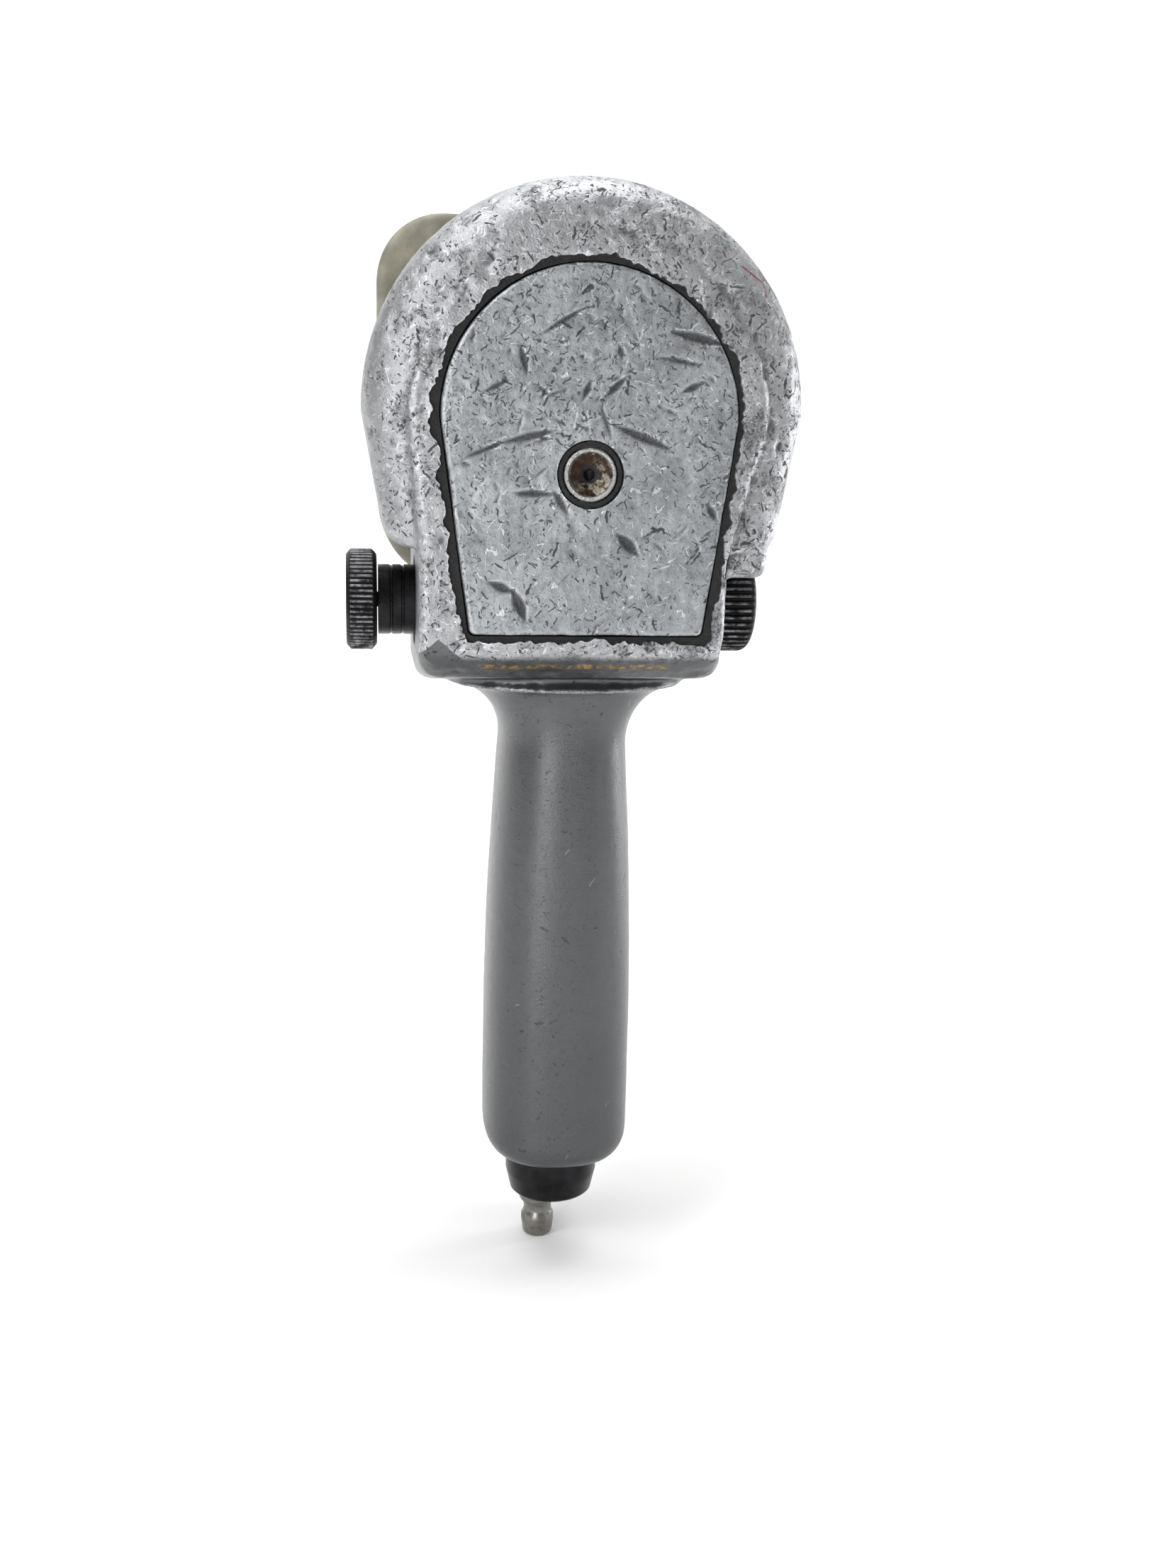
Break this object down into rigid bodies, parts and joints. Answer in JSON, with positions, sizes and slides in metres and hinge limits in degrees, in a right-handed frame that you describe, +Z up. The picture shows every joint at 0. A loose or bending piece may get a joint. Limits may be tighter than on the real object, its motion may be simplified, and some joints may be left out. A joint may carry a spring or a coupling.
{
  "type": "impact wrench",
  "caption": "Pneumatic pistol-grip impact wrench with crosswise reversing spool, vane motor, rocking hammers and square drive.",
  "frame": {"origin": "on the drive axis, on the outer face of the rear cover", "axes": "+Y forward along the drive axis to the square drive, +X to the user's right, +Z up, away from the handle"},
  "size_m": [0.0913, 0.192, 0.2371],
  "materials": {
    "cast_aluminium": "satin casting, peened and pitted by use",
    "worn_aluminium": "dented and scratched plate",
    "olive_casting": "matte olive-grey casting",
    "black_rubber": "matte",
    "gasket_paper": "pressed fibre",
    "steel": "turned and ground, lightly worn",
    "bearing_steel": "ground",
    "hammer_steel": "heat treated, dark",
    "black_steel": "black oxide, bright where worn",
    "bronze": "sintered",
    "black_plastic": "moulded, fine texture",
    "vane_resin": "phenolic laminate"
  },
  "bodies": {
    "housing": {"motor_housing": "cast_aluminium", "rear_cover": "worn_aluminium", "rear_gasket": "black_rubber", "grease_fitting": "steel", "fitting_seal": "black_rubber", "hammer_case": "olive_casting", "case_gasket": "gasket_paper", "case_bolt_1": "black_steel", "case_bolt_2": "black_steel", "case_bolt_3": "black_steel", "case_bolt_4": "black_steel", "nose_bush": "bronze", "nose_seal": "black_rubber", "cylinder_liner": "steel", "rear_end_plate": "steel", "front_end_plate": "steel", "rear_bearing": "bearing_steel", "front_bearing": "bearing_steel", "liner_dowel": "steel", "valve_sleeve": "steel", "spool_seal_1": "black_rubber", "spool_seal_2": "black_rubber", "detent_ball": "steel", "detent_spring": "steel", "detent_screw": "black_steel", "trigger_bush": "bronze", "throttle_seat": "bronze", "throttle_spring": "steel", "inlet_screen": "steel", "inlet_collar": "black_steel", "air_nipple": "steel"},
    "trigger_group": {"trigger": "black_plastic", "trigger_rod": "steel"},
    "throttle": {"throttle_valve": "steel"},
    "spool": {"reverse_spool": "black_steel", "push_knob": "black_steel", "knob_screw": "black_steel"},
    "regulator": {"regulator_knob": "black_steel", "regulator_stem": "steel"},
    "rotor_group": {"rotor": "steel", "vane_1": "vane_resin", "vane_2": "vane_resin", "vane_3": "vane_resin", "vane_4": "vane_resin", "vane_5": "vane_resin", "vane_6": "vane_resin", "hammer_cage": "hammer_steel", "hammer_pin_1": "steel", "hammer_pin_2": "steel"},
    "hammer_rear": {"rear_hammer": "hammer_steel"},
    "hammer_front": {"front_hammer": "hammer_steel"},
    "drive": {"anvil": "steel", "socket_ring": "steel"}
  },
  "joints": [
    {"name": "trigger_pull", "type": "slide", "parent": "housing", "child": "trigger_group", "axis": [0, -1, 0], "range_m": [0, 0.005], "stiffness_N_per_m": 1500, "springref_m": -0.004},
    {"name": "throttle_tilt", "type": "hinge", "parent": "housing", "child": "throttle", "pos_m": [0, 0.0465, -0.0983], "axis": [1, 0, 0], "range_deg": [0, 16], "deforming": ["throttle_spring"]},
    {"name": "reverse_push", "type": "slide", "parent": "housing", "child": "spool", "axis": [1, 0, 0], "range_m": [0, 0.0076]},
    {"name": "regulator_turn", "type": "hinge", "parent": "spool", "child": "regulator", "pos_m": [0.0333, 0.03, -0.0394], "axis": [1, 0, 0], "range_deg": [0, 150]},
    {"name": "rotor_spin", "type": "hinge", "parent": "housing", "child": "rotor_group", "pos_m": [0, 0.05, 0], "axis": [0, 1, 0], "continuous": true},
    {"name": "drive_spin", "type": "hinge", "parent": "housing", "child": "drive", "pos_m": [0, 0.15, 0], "axis": [0, 1, 0], "continuous": true},
    {"name": "rear_hammer_rock", "type": "hinge", "parent": "rotor_group", "child": "hammer_rear", "pos_m": [0, 0.0885, 0.022], "axis": [0, 1, 0], "range_deg": [-2.5, 2.5]},
    {"name": "front_hammer_rock", "type": "hinge", "parent": "rotor_group", "child": "hammer_front", "pos_m": [0, 0.114, -0.022], "axis": [0, 1, 0], "range_deg": [-2.5, 2.5]}
  ],
  "couplings": [
    {"joint": "throttle_tilt", "follows": "trigger_pull", "rad_per_m": 55.781},
    {"joint": "drive_spin", "follows": "rotor_spin", "ratio": 1}
  ]
}
